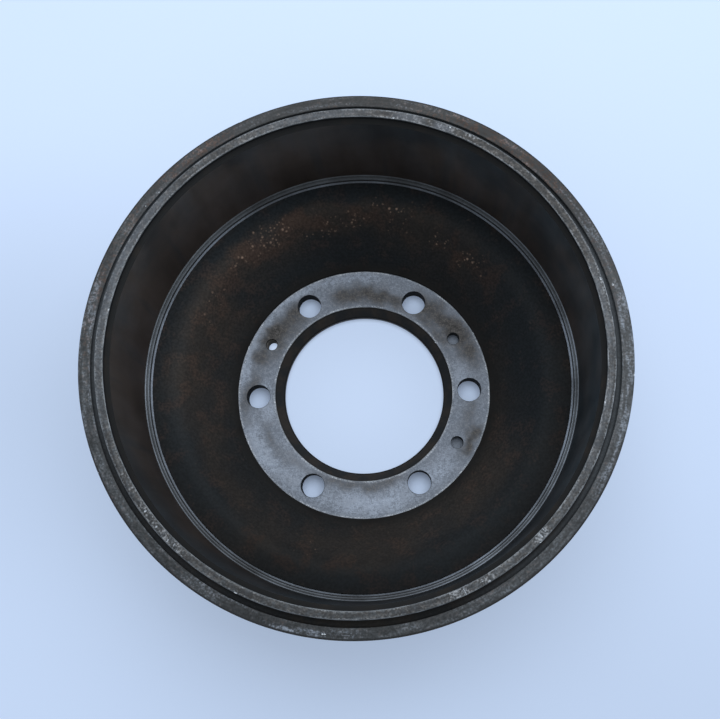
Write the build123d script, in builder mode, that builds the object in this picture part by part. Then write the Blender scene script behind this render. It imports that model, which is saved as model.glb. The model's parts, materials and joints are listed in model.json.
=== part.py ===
from build123d import *
import os

# Brake drum for a six-stud hub: one iron casting, turned where it has to run true.
# Millimetres. +Z runs along the drum's axis, from the wheel side to the open mouth.
# The origin is on that axis, in the face that the road wheel is clamped to.
# The first wheel stud is on +X.

# Hub end
pilot_bore = 106.0  # diameter that centres the drum on the hub
pilot_land = 3.3  # length of the turned pilot bore, with its chamfer
hub_wall = 9.0  # between the wheel face and the hub face
wheel_face_diameter = 184.0
pilot_chamfer = 0.8  # leads the hub's pilot in from the wheel side
hub_face_diameter = 166.8
relief_diameter = 117.4  # cast relief that clears the root of the hub's pilot
turned_step = 1.2  # height of the cast skin above the faces turned into it

# Holes in the hub end, all on one circle
hole_circle = 139.7
stud_count = 6
stud_hole = 15.5
jack_thread_bore = 6.8  # tapping size of the M8 thread that pushes the drum off its hub
jack_hole_angle = 150.0
blind_hole = 8.0
blind_hole_depth = 5.5
blind_hole_angles = (30.0, -30.0)
hole_chamfer = 0.4
chamfer_angle = 90.0  # of the tool that breaks the holes' edges

# Dished web
dish_rise = 30.8  # from the hub face to the root of the shoe track
dish_foot_diameter = 174.0
shoulder_inset = 20.0  # from the shoe track in to the shoulder, where the dish ends
dish_foot_round = 10.0
dish_shoulder_round = 12.0
web_thickness = 8.5

# Shoe track and the turned corner below it
track_diameter = 270.0
track_length = 62.0
corner_width = 4.1
corner_rise = 4.0
wall_thickness = 9.5
wall_bevel = 7.0  # outer corner between web and wall

# Mouth: lead-in, raised lip, rain channel and stiffening flange
lead_in_rise = 1.5
lip_step = 2.2  # straight bore inside the lip
lip_clearance = 2.5  # radial step from the shoe track to the lip's bore
lip_width = 4.9
lip_height = 5.5
channel_width = 4.1
channel_depth = 2.0
flange_width = 7.1  # flat outside the channel
flange_thickness = 11.0
flange_root_bevel = 4.0  # between the flange and the wall

# Radii that the outlines share
pilot_radius = pilot_bore / 2
relief_radius = relief_diameter / 2
foot_radius = dish_foot_diameter / 2
track_radius = track_diameter / 2
shoulder_radius = track_radius - shoulder_inset
corner_radius = track_radius - corner_width
wall_radius = track_radius + wall_thickness
lip_bore_radius = track_radius + lip_clearance
lip_radius = lip_bore_radius + lip_width
channel_radius = lip_radius + channel_width
flange_radius = channel_radius + flange_width

# Heights above the wheel face
hub_skin = hub_wall + turned_step
corner_root = hub_wall + dish_rise
shoulder_skin = corner_root + turned_step
web_underside = shoulder_skin - web_thickness
track_start = corner_root + corner_rise
track_end = track_start + track_length
lip_step_floor = track_end + lead_in_rise
lip_top = lip_step_floor + lip_step
flange_face = lip_top - lip_height
channel_floor = flange_face - channel_depth
flange_underside = flange_face - flange_thickness

with BuildPart() as brake_drum:
    # The casting, as one half section turned about the axis: the web, then the wall with its flange
    with BuildSketch(Plane.XZ) as casting_section:
        with BuildLine():
            Polyline(
                (0, hub_skin),
                (foot_radius, hub_skin),
                (shoulder_radius, shoulder_skin),
                (corner_radius, shoulder_skin),
            )
            offset(amount=web_thickness, side=Side.RIGHT, kind=Kind.INTERSECTION)
        make_face()
        foot_corner = casting_section.vertices().sort_by_distance((foot_radius, hub_skin))[0]
        fillet(foot_corner, dish_foot_round)
        shoulder_corner = casting_section.vertices().sort_by_distance((shoulder_radius, shoulder_skin))[0]
        fillet(shoulder_corner, dish_shoulder_round)
        with BuildLine():
            Polyline(
                (corner_radius, web_underside),
                (wall_radius - wall_bevel, web_underside),
                (wall_radius, web_underside + wall_bevel),
                (wall_radius, flange_underside - flange_root_bevel),
                (wall_radius + flange_root_bevel, flange_underside),
                (flange_radius, flange_underside),
                (flange_radius, flange_face),
                (channel_radius, flange_face),
                (channel_radius, channel_floor),
                (lip_radius, channel_floor),
                (lip_radius, lip_top),
                (corner_radius, lip_top),
                close=True,
            )
        make_face()
    revolve(axis=Axis.Z)

    # Raised pad that the wheel is clamped to
    with BuildSketch(Plane.XY):
        Circle(wheel_face_diameter / 2)
    extrude(amount=hub_wall)

    # Hub face, spot-faced into the cast skin
    with BuildSketch(Plane.XY.offset(hub_wall)):
        Circle(hub_face_diameter / 2)
    extrude(amount=dish_rise, mode=Mode.SUBTRACT)

    # Shoe track, its corner and the bore of the lip, turned in one setting
    with BuildSketch(Plane.XZ):
        with BuildLine():
            Polyline(
                (corner_radius, corner_root),
                (track_radius, track_start),
                (track_radius, track_end),
                (lip_bore_radius, lip_step_floor),
                (lip_bore_radius, lip_top),
                (corner_radius, lip_top),
                close=True,
            )
        make_face()
    revolve(axis=Axis.Z, mode=Mode.SUBTRACT)

    # Pilot bore, and the relief above it
    with Locations(Plane.XY.offset(hub_wall)):
        Hole(pilot_radius)
    with BuildSketch(Plane.XZ):
        with BuildLine():
            Polyline(
                (pilot_radius, pilot_land),
                (relief_radius, hub_wall),
                (pilot_radius, hub_wall),
                close=True,
            )
        make_face()
    revolve(axis=Axis.Z, mode=Mode.SUBTRACT)

    # Lead-in for the hub's pilot, on the bore's edge in the wheel face
    wheel_face_edges = brake_drum.edges().group_by(Axis.Z)[0]
    chamfer(wheel_face_edges.sort_by(SortBy.RADIUS)[0], pilot_chamfer)

    # Wheel studs, the tapped hole and the two blind holes, each broken on the hub side
    with Locations(Plane.XY.offset(hub_wall)):
        with PolarLocations(hole_circle / 2, stud_count):
            CounterSinkHole(
                stud_hole / 2, stud_hole / 2 + hole_chamfer, counter_sink_angle=chamfer_angle
            )
        with PolarLocations(hole_circle / 2, 1, start_angle=jack_hole_angle):
            CounterSinkHole(
                jack_thread_bore / 2,
                jack_thread_bore / 2 + hole_chamfer,
                counter_sink_angle=chamfer_angle,
            )
        for angle in blind_hole_angles:
            with PolarLocations(hole_circle / 2, 1, start_angle=angle):
                CounterSinkHole(
                    blind_hole / 2,
                    blind_hole / 2 + hole_chamfer,
                    depth=blind_hole_depth,
                    counter_sink_angle=chamfer_angle,
                )

brake_drum.part.label = "brake_drum"

os.makedirs("parts", exist_ok=True)
export_step(brake_drum.part, "parts/brake_drum.step")
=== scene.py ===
import json
from math import atan2, ceil, cos, hypot, pi, radians, sin, tan

import bpy
import numpy as np
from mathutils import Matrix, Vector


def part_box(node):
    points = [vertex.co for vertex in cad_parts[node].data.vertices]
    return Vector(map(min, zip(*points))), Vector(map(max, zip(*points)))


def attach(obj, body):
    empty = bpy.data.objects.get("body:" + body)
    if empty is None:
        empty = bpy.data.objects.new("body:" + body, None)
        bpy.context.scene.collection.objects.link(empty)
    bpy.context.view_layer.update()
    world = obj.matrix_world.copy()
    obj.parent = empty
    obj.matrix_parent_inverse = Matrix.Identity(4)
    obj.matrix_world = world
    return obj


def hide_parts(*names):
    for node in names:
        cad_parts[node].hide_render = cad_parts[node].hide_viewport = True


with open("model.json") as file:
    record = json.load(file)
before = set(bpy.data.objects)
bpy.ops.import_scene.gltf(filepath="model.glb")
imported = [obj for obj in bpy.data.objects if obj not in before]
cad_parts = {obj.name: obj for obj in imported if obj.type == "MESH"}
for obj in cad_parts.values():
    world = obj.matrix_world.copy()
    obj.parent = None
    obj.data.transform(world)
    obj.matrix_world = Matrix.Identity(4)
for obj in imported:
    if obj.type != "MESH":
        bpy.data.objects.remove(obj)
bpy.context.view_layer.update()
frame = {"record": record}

bl_info = {
    "name": "Brake Drum",
    "version": (1, 0, 0),
    "blender": (4, 5, 0),
    "location": "3D View > Sidebar > Brake Drum",
    "description": "Models a used cast-iron brake drum that lies mouth up on a pale floor",
    "category": "Add Mesh",
}

MM = 0.001
TOLERANCE = 0.01 * MM  # how near a point lies to the place that is meant
mounts = {mount["name"]: mount for mount in frame["record"]["mounts"]}
drum_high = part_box("brake_drum")[1]
track_middle = mounts["shoe_track"]["pos_m"][2]
track_half = mounts["shoe_track"]["dims"]["length_mm"] * MM / 2


def mount_radius(name):
    """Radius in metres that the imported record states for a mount."""
    return mounts[name]["dims"]["r_mm"] * MM


def mount_angle(name):
    """Where a mount lies around the drum's axis, in radians from +X."""
    x, y = mounts[name]["pos_m"][:2]
    return atan2(y, x)


def length(name, description, default):
    """A size in metres that a user can change."""
    return bpy.props.FloatProperty(
        name=name, description=description, default=default, min=0.0, unit="LENGTH", precision=5
    )


# ---------------------------------------------------------------- sizes


class DrumSizes(bpy.types.PropertyGroup):
    pilot_radius: length("Pilot bore", "Radius of the bore that fits the hub", mount_radius("hub_bore"))
    pilot_chamfer: length("Pilot chamfer", "Lead-in of the bore on the wheel side", 0.8 * MM)
    pilot_land: length("Pilot land", "Height of the bore's turned part", 3.3 * MM)
    relief_radius: length("Relief", "Radius of the recess above the bore", 58.7 * MM)
    hub_wall: length("Hub wall", "Height of the hub face", mounts["hub_face"]["pos_m"][2])
    hub_face_radius: length("Hub face", "Radius of the turned hub face", 83.4 * MM)
    pad_radius: length("Wheel face", "Radius of the pad that the wheel is clamped to", 92.0 * MM)
    turned_step: length("Turned step", "Height of the cast skin above turned faces", 1.2 * MM)
    foot_radius: length("Dish foot", "Radius where the web starts to rise", 87.0 * MM)
    shoulder_radius: length("Dish shoulder", "Radius where the web is level again", 115.0 * MM)
    web_thickness: length("Web", "Thickness of the dished web", 8.5 * MM)
    track_radius: length("Shoe track", "Radius of the wall the shoes rub on", mount_radius("shoe_track"))
    track_start: length("Track start", "Height of the shoe track's lower end", track_middle - track_half)
    track_end: length("Track end", "Height of the shoe track's upper end", track_middle + track_half)
    corner_width: length("Corner width", "Width of the turned corner", 4.1 * MM)
    corner_rise: length("Corner rise", "Height of the turned corner", 4.0 * MM)
    wall_thickness: length("Wall", "Thickness of the drum's wall", 9.5 * MM)
    lead_in_rise: length("Lead-in", "Height of the slope above the track", 1.5 * MM)
    lip_clearance: length("Lip clearance", "Step from the track to the lip's bore", 2.5 * MM)
    lip_width: length("Lip width", "Width of the raised lip", 4.9 * MM)
    lip_height: length("Lip height", "Height of the lip above the flange", 5.5 * MM)
    channel_width: length("Channel width", "Width of the rain channel", 4.1 * MM)
    channel_depth: length("Channel depth", "Depth of the rain channel", 2.0 * MM)
    flange_thickness: length("Flange", "Thickness of the flange", 11.0 * MM)
    flange_radius: length("Flange radius", "Outer radius of the drum", drum_high.x)
    hole_chamfer: length("Hole chamfer", "Broken edge of the holes in the hub face", 0.2 * MM)
    thread_pitch: length("Thread pitch", "Pitch of the tapped hole's thread", 1.25 * MM)
    thread_depth: length("Thread depth", "Height of the thread's teeth", 0.55 * MM)
    thread_chamfer: length("Thread chamfer", "Broken edge of the tapped hole", 0.6 * MM)
    height: length("Height", "From the wheel face to the top of the lip", drum_high.z)
    segments: bpy.props.IntProperty(
        name="Segments", description="Number of flats around the drum", default=512, min=64, max=1024
    )


def colour(name, description, default):
    """A linear colour that a user can change."""
    return bpy.props.FloatVectorProperty(
        name=name, description=description, default=default, size=3, min=0.0, max=1.0, subtype="COLOR"
    )


class DrumColours(bpy.types.PropertyGroup):
    worn: colour("Worn iron", "Edges and nicks rubbed to bare metal", (0.46, 0.49, 0.53))
    faced: colour("Faced iron", "The hub face where it is clean", (0.185, 0.215, 0.265))
    lip: colour("Lip", "Top of the raised lip", (0.092, 0.103, 0.115))
    flange: colour("Flange", "Top of the flange", (0.072, 0.082, 0.092))
    dark: colour("Dark iron", "Oiled and dusty iron inside the drum", (0.0105, 0.0115, 0.0125))
    blued: colour("Blued iron", "Heat-darkened iron beside the shoe track", (0.0085, 0.0115, 0.014))
    dust: colour("Brake dust", "Brown dust burnt onto the iron", (0.0195, 0.0165, 0.0145))
    stain: colour("Stain", "Brown stains on the turned faces", (0.071, 0.066, 0.062))
    rust: colour("Rust", "Thin rust on the cast skin", (0.078, 0.042, 0.029))
    specks: colour("Rust specks", "Fresh rust in single spots", (0.24, 0.165, 0.125))
    cast: colour("Cast skin", "The outer side, as it was cast", (0.03, 0.029, 0.028))
    floor: colour("Floor", "The pale floor that the drum lies on", (0.64, 0.77, 1.0))


# ---------------------------------------------------------------- selecting


def deselect_everything():
    if bpy.context.object and bpy.context.object.mode != "OBJECT":
        bpy.ops.object.mode_set(mode="OBJECT")
    bpy.ops.object.select_all(action="DESELECT")


def make_active(piece):
    deselect_everything()
    piece.select_set(True)
    bpy.context.view_layer.objects.active = piece


def read_vectors(items, name, width=3):
    """One vector per vertex, edge or face, as an array of rows."""
    values = np.empty(len(items) * width, int if name == "vertices" else float)
    items.foreach_get(name, values)
    return values.reshape(-1, width)


def edge_ends(mesh):
    """Radius and height of both ends of every edge."""
    points = read_vectors(mesh.vertices, "co")
    radius, height = np.hypot(points[:, 0], points[:, 1]), points[:, 2]
    ends = read_vectors(mesh.edges, "vertices", 2)
    return radius[ends], height[ends]


def edit_edges(piece, chosen):
    """Enter edit mode with only these edges selected."""
    make_active(piece)
    mesh = piece.data
    mesh.polygons.foreach_set("select", np.zeros(len(mesh.polygons), bool))
    mesh.vertices.foreach_set("select", np.zeros(len(mesh.vertices), bool))
    mesh.edges.foreach_set("select", chosen)
    bpy.context.tool_settings.mesh_select_mode = (False, True, False)
    bpy.ops.object.mode_set(mode="EDIT")


# ---------------------------------------------------------------- mixing finishes


class Finish:
    """A material under construction, with short words for the nodes that the iron is mixed from."""

    def __init__(self, name):
        self.material = bpy.data.materials.new(name)
        self.material.use_nodes = True
        self.tree = self.material.node_tree
        self.shader = self.tree.nodes["Principled BSDF"]
        self.place = self.add("ShaderNodeTexCoord").outputs["Object"]
        self.height = self.add("ShaderNodeSeparateXYZ", self.place).outputs["Z"]
        self.radius, self.heading = self.polar(self.place)
        self.frayed_radius, self.frayed_heading = self.radius, self.heading

    def add(self, kind, *values, **settings):
        """A node with these settings, and its first inputs fed in order."""
        node = self.tree.nodes.new(kind)
        for name, setting in settings.items():
            setattr(node, name, setting)
        for socket, value in zip(node.inputs, values):
            self.feed(socket, value)
        return node

    def feed(self, socket, value):
        """Link a node's output to a socket, or set the socket to a value."""
        if isinstance(value, bpy.types.NodeSocket):
            self.tree.links.new(value, socket)
        else:
            socket.default_value = value

    def calc(self, operation, *values):
        return self.add("ShaderNodeMath", *values, operation=operation).outputs[0]

    def vector(self, operation, *values):
        node = self.add("ShaderNodeVectorMath", *values, operation=operation)
        return node.outputs["Value" if operation in ("LENGTH", "DISTANCE", "DOT_PRODUCT") else "Vector"]

    def polar(self, place):
        """Distance from the drum's axis, and the heading away from it."""
        level = self.vector("MULTIPLY", place, (1, 1, 0))
        return self.vector("LENGTH", level), self.vector("NORMALIZE", level)

    def fray(self, reach, size):
        """Tear the outlines of patches: each point looks up to this far away for its patch."""
        noise = self.add("ShaderNodeTexNoise", self.place)
        noise.inputs["Scale"].default_value = 1 / size
        noise.inputs["Detail"].default_value = 5
        around_zero = self.vector("SUBTRACT", noise.outputs["Color"], (0.5, 0.5, 0.5))
        offset = self.vector("MULTIPLY", around_zero, (4 * reach, 4 * reach, 4 * reach))
        self.frayed_radius, self.frayed_heading = self.polar(self.vector("ADD", self.place, offset))

    def noise(self, size, detail=3, stretch=(1, 1, 1)):
        """Cloudy values around a half, with grains of about this size in metres."""
        node = self.add("ShaderNodeTexNoise", self.vector("MULTIPLY", self.place, stretch))
        node.inputs["Scale"].default_value = 1 / size
        node.inputs["Detail"].default_value = detail
        return node.outputs["Fac"]

    def grit(self, size, detail=4):
        """Grains of about this size, from 0 to 1 with full contrast."""
        return self.ramp(self.noise(size, detail), 0.34, 0.66)

    def rings(self, along, size, detail=2):
        """Turning marks: the same value all round, changing with a radius or a height."""
        node = self.add("ShaderNodeTexNoise", noise_dimensions="1D")
        self.feed(node.inputs["W"], along)
        node.inputs["Scale"].default_value = 1 / size
        node.inputs["Detail"].default_value = detail
        return node.outputs["Fac"]

    def spots(self, spacing, size):
        """Round spots about this far apart: 1 in the middle of a spot, 0 past its size."""
        node = self.add("ShaderNodeTexVoronoi", self.place)
        node.inputs["Scale"].default_value = 1 / spacing
        return self.ramp(node.outputs["Distance"], size / spacing, 0.3 * size / spacing)

    def ramp(self, value, start, end):
        """0 at the start, 1 at the end, and smooth between."""
        return self.add("ShaderNodeMapRange", value, start, end, interpolation_type="SMOOTHSTEP").outputs[0]

    def near(self, value, middle, reach):
        """1 where a value is close to the middle, fading to 0 at its reach."""
        off = self.calc("ABSOLUTE", self.calc("SUBTRACT", value, middle))
        return self.ramp(off, reach, 0.35 * reach)

    def within(self, place, reach):
        """1 at a place, fading to 0 at its reach."""
        return self.ramp(self.vector("DISTANCE", self.place, place), reach, 0.0)

    def toward(self, angle, sweep):
        """1 at this angle around the axis, fading to 0 at its sweep to both sides, in degrees."""
        heading = (cos(radians(angle)), sin(radians(angle)), 0)
        along = self.vector("DOT_PRODUCT", self.frayed_heading, heading)
        return self.ramp(along, cos(radians(sweep)), 1.0)

    def patches(self, places):
        """The sum of soft patches: angle and sweep in degrees, radius and reach in millimetres, strength."""
        total = 0.0
        for angle, sweep, radius, reach, strength in places:
            off = self.calc("ABSOLUTE", self.calc("SUBTRACT", self.frayed_radius, radius * MM))
            ring = self.ramp(off, 1.2 * reach * MM, 0.0)
            patch = self.calc("MULTIPLY", self.toward(angle, sweep), ring)
            total = self.calc("MULTIPLY_ADD", patch, strength, total)
        return total

    def around(self, places, base=1.0):
        """A factor that changes around the axis: angle and sweep in degrees, and what they add."""
        total = base
        for angle, sweep, added in places:
            total = self.calc("MULTIPLY_ADD", self.toward(angle, sweep), added, total)
        return total

    def streaks(self, size, sweep, detail=4):
        """Cloudy values drawn out around the axis, this many times longer than wide."""
        turned = self.vector("MULTIPLY", self.heading, (140 * MM / sweep, 140 * MM / sweep, 0))
        across = self.add("ShaderNodeCombineXYZ", 0.0, 0.0, self.radius).outputs[0]
        node = self.add("ShaderNodeTexNoise", self.vector("ADD", turned, across))
        node.inputs["Scale"].default_value = 1 / size
        node.inputs["Detail"].default_value = detail
        return node.outputs["Fac"]

    def tint(self, share, one, other):
        """From one colour to the other as the share goes from 0 to 1."""
        node = self.add("ShaderNodeMix", share, data_type="RGBA")
        for socket, value in ((node.inputs[6], one), (node.inputs[7], other)):
            self.feed(socket, value if isinstance(value, bpy.types.NodeSocket) else (*value, 1.0))
        return node.outputs[2]

    def scaled(self, colour, factor):
        """A colour made darker or lighter by a factor."""
        node = self.add("ShaderNodeVectorMath", operation="SCALE")
        self.feed(node.inputs[0], colour if isinstance(colour, bpy.types.NodeSocket) else (*colour,))
        self.feed(node.inputs["Scale"], factor)
        return node.outputs["Vector"]

    def between(self, share, low, high):
        """A number from low to high as the share goes from 0 to 1."""
        return self.calc("MULTIPLY_ADD", share, high - low, low)

    def surface(self, colour, roughness, metallic=0.0, specular=0.5, bump=None, bump_height=0.0):
        """Feed the shader and give the finished material."""
        self.feed(self.shader.inputs["Base Color"], colour)
        self.feed(self.shader.inputs["Roughness"], roughness)
        self.shader.inputs["Metallic"].default_value = metallic
        self.shader.inputs["Specular IOR Level"].default_value = specular
        if bump:
            relief = self.add("ShaderNodeBump")
            self.feed(relief.inputs["Height"], bump)
            relief.inputs["Distance"].default_value = bump_height
            self.feed(self.shader.inputs["Normal"], relief.outputs["Normal"])
        return self.material


# ---------------------------------------------------------------- finishes of the iron


def cast_skin(colours):
    """Sand-cast outer side: dull brown-grey, grainy, rusting in patches."""
    iron = Finish("cast_skin")
    sand = iron.grit(1.2 * MM)
    mottling = iron.grit(5 * MM, 5)
    cloud = iron.grit(22 * MM, 5)
    colour = iron.tint(iron.calc("MULTIPLY", mottling, 0.6), colours.cast, colours.dust)
    rusty = iron.calc("MULTIPLY", iron.calc("MULTIPLY", cloud, mottling), 0.45)
    colour = iron.tint(rusty, colour, colours.rust)
    colour = iron.tint(iron.calc("MULTIPLY", iron.spots(7 * MM, 1.1 * MM), 0.14), colour, colours.specks)
    colour = iron.scaled(colour, iron.between(sand, 0.75, 1.25))
    return iron.surface(
        colour, iron.between(cloud, 0.7, 0.88), specular=0.35, bump=sand, bump_height=0.12 * MM
    )


def wheel_face(colours):
    """Turned face that the wheel is clamped to: rings, rust and rubbed metal."""
    iron = Finish("wheel_face")
    marks = iron.rings(iron.radius, 0.45 * MM)
    rusty = iron.calc("MULTIPLY", iron.grit(14 * MM, 5), iron.grit(3 * MM, 5))
    colour = iron.tint(iron.calc("MULTIPLY", rusty, 0.7), colours.lip, colours.rust)
    colour = iron.scaled(colour, iron.between(marks, 0.8, 1.2))
    return iron.surface(
        colour, iron.between(rusty, 0.42, 0.75), metallic=0.45, bump=marks, bump_height=0.04 * MM
    )


def pilot_bore(colours):
    """Turned bore that fits the hub: dark, with fine rings and a little rust."""
    iron = Finish("pilot_bore")
    marks = iron.rings(iron.height, 0.3 * MM)
    rusty = iron.ramp(iron.noise(7 * MM, 4), 0.45, 0.62)
    colour = iron.tint(iron.calc("MULTIPLY", rusty, 0.7), colours.stain, colours.rust)
    colour = iron.scaled(colour, iron.between(marks, 0.5, 0.9))
    return iron.surface(colour, 0.6, metallic=0.3, bump=marks, bump_height=0.03 * MM)


RELIEF_INNER_EDGE = (54.2 * MM, 53.2 * MM)  # where the painted shadow along the recess's inner edge starts, and where it is black
RELIEF_OUTER_EDGE = (57.6 * MM, 58.6 * MM)
RELIEF_SHADOW_BLACK = (0.003, 0.003, 0.003)


def relief(colours):
    """Cast recess above the bore: one even coat of dark brown dust, with painted shadow lines, nearly black,
    along both edges.
    """
    iron = Finish("relief")
    grain = iron.noise(1.6 * MM, 3)
    colour = iron.tint(iron.ramp(iron.noise(13 * MM), 0.4, 0.6), colours.dark, colours.dust)
    colour = iron.scaled(colour, iron.between(grain, 0.9, 1.7))
    # painted shadow: both edges of the recess are tinted nearly black
    outer = iron.ramp(iron.radius, *RELIEF_OUTER_EDGE)
    inner = iron.ramp(iron.radius, *RELIEF_INNER_EDGE)
    edges = iron.calc("ADD", outer, inner)
    colour = iron.tint(iron.calc("MULTIPLY", edges, 0.8), colour, RELIEF_SHADOW_BLACK)
    return iron.surface(colour, 0.75, specular=0.2, bump=grain, bump_height=0.06 * MM)


def caked_dirt(colours):
    """Small steps beside the turned faces, nearly black with caked dirt and painted shadow."""
    iron = Finish("caked_dirt")
    crust = iron.noise(2 * MM, 4)
    # dirt and painted shadow: the steps are darkened nearly to black
    colour = iron.scaled(colours.dark, iron.between(crust, 0.1, 0.6))
    return iron.surface(colour, 0.9, specular=0.1, bump=crust, bump_height=0.1 * MM)


HUB_EDGES = (59.3 * MM, 82.8 * MM)
HUB_STAINS = (  # angle and sweep, radius and reach, strength
    (134, 20, 71, 8, 1.0),
    (152, 14, 73, 9, 0.9),
    (140, 26, 63, 5, 0.5),
    (92, 20, 68, 9, 0.95),
    (70, 20, 65, 7, 0.8),
    (45, 22, 72, 11, 1.1),
    (24, 16, 75, 11, 0.9),
    (40, 26, 62, 4, 0.5),
    (-26, 12, 78, 6, 1.0),
    (-12, 14, 72, 7, 0.4),
    (174, 12, 73, 7, 0.6),
    (187, 14, 79, 5, 0.5),
    (210, 18, 68, 5, 0.4),
    (228, 20, 64, 5, 0.4),
    (268, 36, 62, 5, 0.6),
)
# clean iron, partly painted highlights: angle and sweep, radius and reach, strength
HUB_CLEAN_AND_HIGHLIGHTS = (
    (205, 20, 78, 7, 0.9),
    (183, 16, 64, 6, 0.8),
    (235, 24, 74, 9, 0.6),
    (272, 22, 74, 10, 1.0),
    (305, 24, 72, 10, 0.7),
    (158, 22, 81, 4, 1.0),
    (125, 20, 81, 4, 0.8),
    (95, 20, 80, 4, 0.5),
    (8, 12, 66, 7, 0.6),
    (226, 22, 64, 6, 0.6),
)


def hub_face(colours):
    """Turned hub face: blue-grey iron, browned where the hub was bolted to it, with clean iron partly
    painted as highlights.
    """
    iron = Finish("hub_face")
    iron.fray(2.6 * MM, 8 * MM)
    grain = iron.grit(0.9 * MM)
    mottling = iron.grit(2.2 * MM, 5)
    cloud = iron.grit(10 * MM, 5)
    torn = iron.calc("ADD", iron.between(cloud, -0.2, 0.2), iron.between(mottling, -0.2, 0.2))
    torn = iron.calc("ADD", torn, iron.between(grain, -0.25, 0.25))
    stained = iron.ramp(iron.calc("ADD", iron.patches(HUB_STAINS), torn), -0.3, 1.4)
    bright = iron.ramp(iron.calc("ADD", iron.patches(HUB_CLEAN_AND_HIGHLIGHTS), torn), -0.4, 1.5)
    marks = iron.rings(iron.radius, 0.5 * MM)
    # painted highlight: a darker and a lighter copy of the faced iron, the lighter one in the bright patches
    colour = iron.tint(bright, iron.scaled(colours.faced, 0.6), iron.scaled(colours.faced, 1.45))
    colour = iron.tint(iron.calc("MULTIPLY", stained, 0.96), colour, colours.stain)
    # worn edges, partly a painted highlight: both edges of the face are lightened towards bare iron
    inner = iron.near(iron.radius, HUB_EDGES[0], 0.8 * MM)
    outer = iron.near(iron.radius, HUB_EDGES[1], 0.8 * MM)
    rubbed = iron.calc("MULTIPLY", iron.calc("ADD", inner, outer), cloud)
    rubbed = iron.calc("MULTIPLY", rubbed, grain)
    colour = iron.tint(iron.calc("MULTIPLY", rubbed, 0.7), colour, colours.worn)
    pitted = iron.between(stained, 0.24, 0.8)
    for pits in (grain, mottling):
        contrast = iron.calc("MULTIPLY_ADD", iron.calc("SUBTRACT", pits, 0.5), pitted, 1.0)
        colour = iron.scaled(colour, contrast)
    colour = iron.scaled(colour, iron.between(marks, 0.88, 1.12))
    return iron.surface(
        colour, iron.between(stained, 0.45, 0.7), metallic=0.5, bump=grain, bump_height=0.02 * MM
    )


WEB_DUST = (  # angle and sweep, radius and reach, strength
    (300, 70, 98, 16, 0.6),
    (240, 50, 108, 16, 0.6),
    (180, 50, 108, 20, 0.7),
    (125, 40, 112, 11, 0.6),
    (90, 40, 111, 11, 0.5),
    (40, 40, 106, 12, 0.4),
    (0, 40, 100, 14, 0.4),
)
WEB_BLUED = (
    (-52, 32, 119, 11, 1.0),
    (-90, 30, 124, 10, 0.9),
    (208, 30, 119, 14, 1.0),
    (8, 46, 108, 24, 1.0),
    (60, 50, 125, 9, 1.0),
    (110, 40, 126, 7, 0.9),
    (160, 30, 127, 6, 0.5),
    (100, 50, 92, 11, 0.7),
)
WEB_RUST = (
    (120, 22, 112.5, 9, 1.3),
    (102, 18, 112, 9, 0.95),
    (142, 18, 110, 10, 0.6),
    (78, 20, 112, 10, 0.55),
    (48, 20, 107, 10, 0.75),
    (160, 18, 106, 10, 0.4),
    (186, 18, 112, 12, 0.15),
    (250, 26, 114, 11, 0.3),
    (300, 30, 100, 12, 0.15),
)
WEB_SPECKS = (
    (119, 11, 113.5, 7, 1.45),
    (132, 6, 110.5, 5, 1.15),
    (149, 9, 109, 5, 0.7),
    (107, 6, 104, 5, 0.8),
    (95, 10, 109, 8, 0.75),
    (80, 14, 113, 9, 0.7),
    (60, 6, 106, 6, 0.85),
    (46, 7, 108, 7, 0.9),
    (-110, 5, 109, 5, 0.8),
)
WEB_GAP = (91 * MM, 84.4 * MM)  # where the web darkens towards the step beside the hub face, with dirt and painted shade
GAP_SHADE_BLACK = (0.002, 0.002, 0.002)
WEB_SHADE = (  # painted light and shade by direction: angle and sweep, and what they add
    (155, 60, 0.4),
    (0, 50, 0.1),
    (312, 36, 0.25),
)
# painted light and shade by direction on the outer flat of the web
WEB_OUTER_SHADE = (
    (280, 90, -0.32),
    (145, 60, 0.4),
)


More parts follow.
